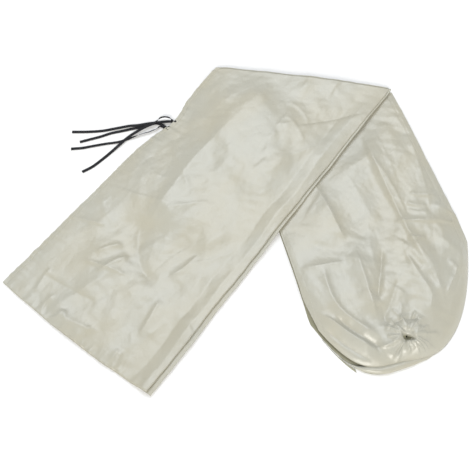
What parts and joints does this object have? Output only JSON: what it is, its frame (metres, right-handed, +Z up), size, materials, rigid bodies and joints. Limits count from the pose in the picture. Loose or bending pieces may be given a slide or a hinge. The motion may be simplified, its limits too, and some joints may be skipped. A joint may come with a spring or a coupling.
{
  "type": "rotary clothesline cover",
  "caption": "Long fabric sleeve that covers a folded rotary clothesline, with a gathered crown, an open mouth, a side slit and tie tapes, folded once and laid flat.",
  "frame": {"origin": "centre of the folded cover's outline, without its tie tapes, on the floor it lies on", "axes": "+Y along the mouth half from the mouth to the fold, +X across it from the side seam to the slit, +Z up"},
  "size_m": [1.0568, 1.013, 0.0296],
  "materials": {
    "fabric_outside": "coated polyester, soft satin",
    "fabric_hem": "coated polyester, folded and stitched",
    "tie_tape": "matt woven tape",
    "elastic": "covered elastic"
  },
  "bodies": {
    "crown_half": {"crown_front_panel": "fabric_outside", "crown_back_panel": "fabric_outside", "crown_side_seam": "fabric_hem", "crown_front_hem": "fabric_hem", "crown_back_hem": "fabric_hem", "crown_end_roll": "fabric_outside", "crown_gather": "fabric_outside", "crown_casing": "fabric_hem", "crown_elastic": "elastic", "front_fold": "fabric_outside", "back_fold": "fabric_outside"},
    "mouth_half": {"mouth_front_panel": "fabric_outside", "mouth_back_panel": "fabric_outside", "mouth_side_seam": "fabric_hem", "mouth_front_hem": "fabric_hem", "mouth_back_hem": "fabric_hem", "mouth_front_end_hem": "fabric_hem", "mouth_back_end_hem": "fabric_hem", "tie_tack_upper": "tie_tape", "tie_tack_lower": "tie_tape", "tie_tail_1": "tie_tape", "tie_tail_2": "tie_tape", "tie_tail_3": "tie_tape", "tie_tail_4": "tie_tape"}
  },
  "joints": [
    {"name": "cover_fold", "type": "hinge", "parent": "crown_half", "child": "mouth_half", "pos_m": [-0.4265, 0.2758, 0.0115], "axis": [-0.8821, -0.471, 0], "range_deg": [0, 180], "deforming": ["front_fold", "back_fold"]}
  ]
}
